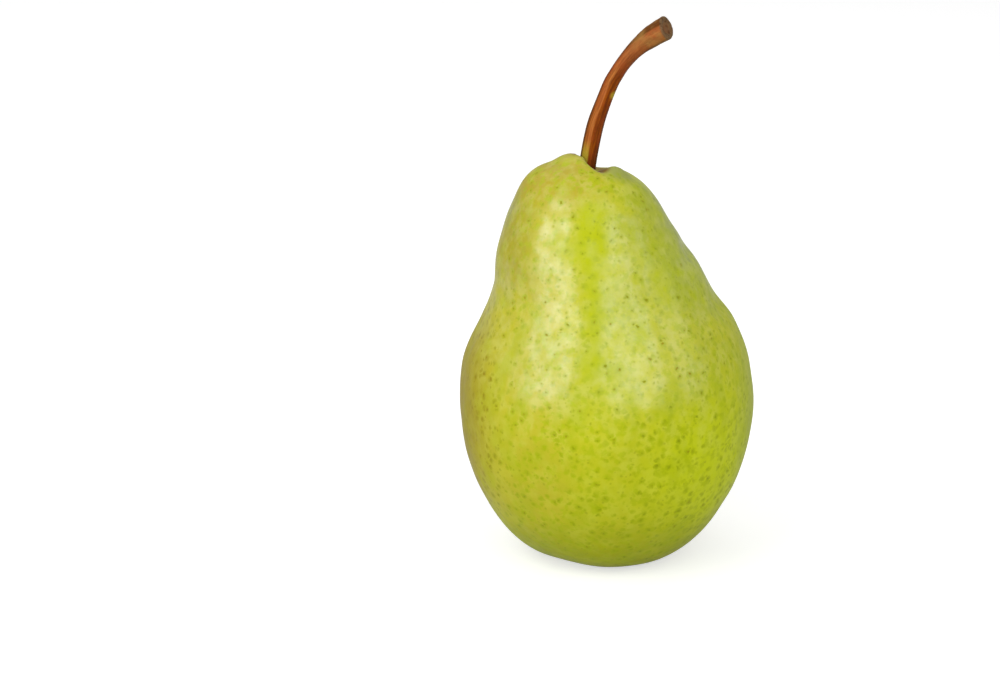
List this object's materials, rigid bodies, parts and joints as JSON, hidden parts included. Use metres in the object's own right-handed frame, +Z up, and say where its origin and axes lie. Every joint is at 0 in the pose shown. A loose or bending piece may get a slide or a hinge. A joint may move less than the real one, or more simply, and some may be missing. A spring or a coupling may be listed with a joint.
{
  "type": "pear",
  "caption": "Whole green pear standing upright on its base, with a long curved woody stem leaning to one side and a dried calyx in the basin underneath.",
  "frame": {"origin": "on the table, under the middle of the whole pear's bounding box", "axes": "+Z up, +X the side that the stem's tip leans to, -Y the front"},
  "size_m": [0.0734, 0.0734, 0.1355],
  "materials": {
    "skin": "satin",
    "stem_bark": "satin",
    "dry_calyx": "matte"
  },
  "bodies": {
    "root": {"fruit": "skin", "stem": "stem_bark", "calyx": "dry_calyx"}
  },
  "joints": []
}
